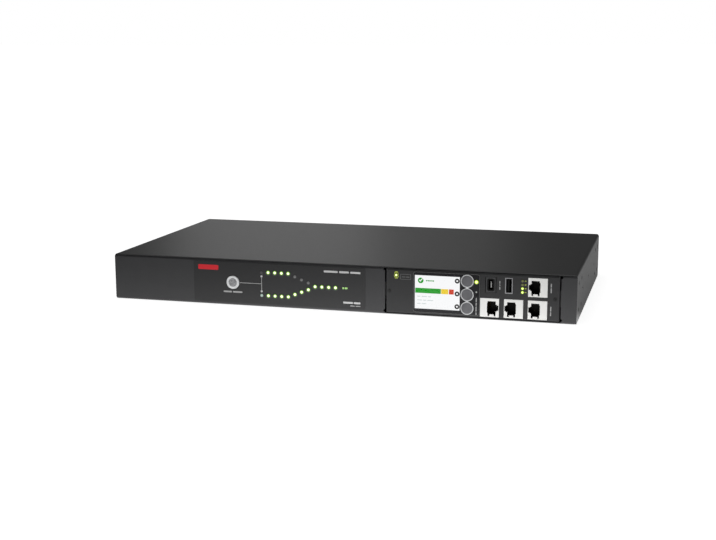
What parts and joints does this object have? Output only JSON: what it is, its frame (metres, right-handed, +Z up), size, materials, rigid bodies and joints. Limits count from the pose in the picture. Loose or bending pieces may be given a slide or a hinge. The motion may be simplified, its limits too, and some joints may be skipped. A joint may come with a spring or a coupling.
{
  "type": "rack transfer switch",
  "caption": "Flat rack unit that switches its outlets between two mains sources, with a front mimic, a small display, keys and network jacks.",
  "frame": {"origin": "middle of the footprint, on the surface that the unit rests on", "axes": "+X to the right seen from the front, +Y from the front to the rear, +Z up; the front faces -Y"},
  "size_m": [0.44, 0.236, 0.044],
  "materials": {
    "tray_paint": "satin powder coat",
    "panel_paint": "satin powder coat",
    "cover_paint": "satin powder coat",
    "faceplate_paint": "satin powder coat",
    "black_screw": "blackened",
    "zinc": "zinc plated",
    "label_film": "fine matt film",
    "button_grey": "satin",
    "cap_grey": "satin",
    "key_grey": "satin",
    "bezel_grey": "satin",
    "board_green": "solder resist",
    "lamp_lens": "clear diffuse",
    "overlay_black": "gloss",
    "window_clear": "clear",
    "lcd_white": "display",
    "holder_black": "moulded",
    "jack_white": "moulded",
    "gold_contact": "gold plated",
    "port_shell": "nickel plated",
    "port_black": "moulded",
    "connector_black": "moulded",
    "pin_metal": "nickel plated",
    "relay_blue": "moulded",
    "supply_black": "potted",
    "copper_winding": "enamelled",
    "capacitor_yellow": "moulded",
    "wire_grey": "insulation",
    "ribbon_grey": "insulation"
  },
  "bodies": {
    "housing": {"chassis_tray": "tray_paint", "front_panel": "panel_paint", "rear_panel": "tray_paint", "top_cover": "cover_paint", "panel_screws": "black_screw", "bracket_nuts": "zinc", "front_label": "label_film", "mimic_board": "board_green", "source_a_lamps": "lamp_lens", "source_b_lamps": "lamp_lens", "output_lamps": "lamp_lens", "module_faceplate": "faceplate_paint", "module_board": "board_green", "controller_board": "board_green", "display_overlay": "overlay_black", "display_window": "window_clear", "lcd_panel": "lcd_white", "lcd_holder": "holder_black", "key_bezel": "bezel_grey", "key_switches": "holder_black", "status_lamps": "lamp_lens", "ethernet_jack": "jack_white", "sensor_jack": "jack_white", "link_in_jack": "jack_white", "link_out_jack": "jack_white", "jack_contacts": "gold_contact", "usb_port": "port_shell", "console_port": "port_black", "port_tongues": "port_black", "inlet_a": "connector_black", "inlet_b": "connector_black", "outlet_1": "connector_black", "outlet_2": "connector_black", "outlet_3": "connector_black", "outlet_4": "connector_black", "outlet_5": "connector_black", "outlet_6": "connector_black", "outlet_7": "connector_black", "outlet_8": "connector_black", "outlet_9": "connector_black", "outlet_10": "connector_black", "outlet_11": "connector_black", "outlet_12": "connector_black", "mains_contacts": "pin_metal", "outlet_board": "board_green", "ground_screw": "zinc", "power_board": "board_green", "transfer_relays": "relay_blue", "supply_modules": "supply_black", "filter_chokes": "copper_winding", "filter_capacitors": "capacitor_yellow", "inlet_wires": "wire_grey", "ribbon_cables": "ribbon_grey", "board_standoffs": "zinc", "board_screws": "zinc"},
    "preference_key": {"preference_button": "button_grey", "preference_cap": "cap_grey"},
    "menu_key_body": {"menu_key": "key_grey"},
    "scroll_key_body": {"scroll_key": "key_grey"},
    "select_key_body": {"select_key": "key_grey"}
  },
  "joints": [
    {"name": "preference_press", "type": "slide", "parent": "housing", "child": "preference_key", "axis": [0, 1, 0], "range_m": [0, 0.0005], "stiffness_N_per_m": 400},
    {"name": "menu_press", "type": "slide", "parent": "housing", "child": "menu_key_body", "axis": [0, 1, 0], "range_m": [0, 0.0005], "stiffness_N_per_m": 400},
    {"name": "scroll_press", "type": "slide", "parent": "housing", "child": "scroll_key_body", "axis": [0, 1, 0], "range_m": [0, 0.0005], "stiffness_N_per_m": 400},
    {"name": "select_press", "type": "slide", "parent": "housing", "child": "select_key_body", "axis": [0, 1, 0], "range_m": [0, 0.0005], "stiffness_N_per_m": 400}
  ]
}
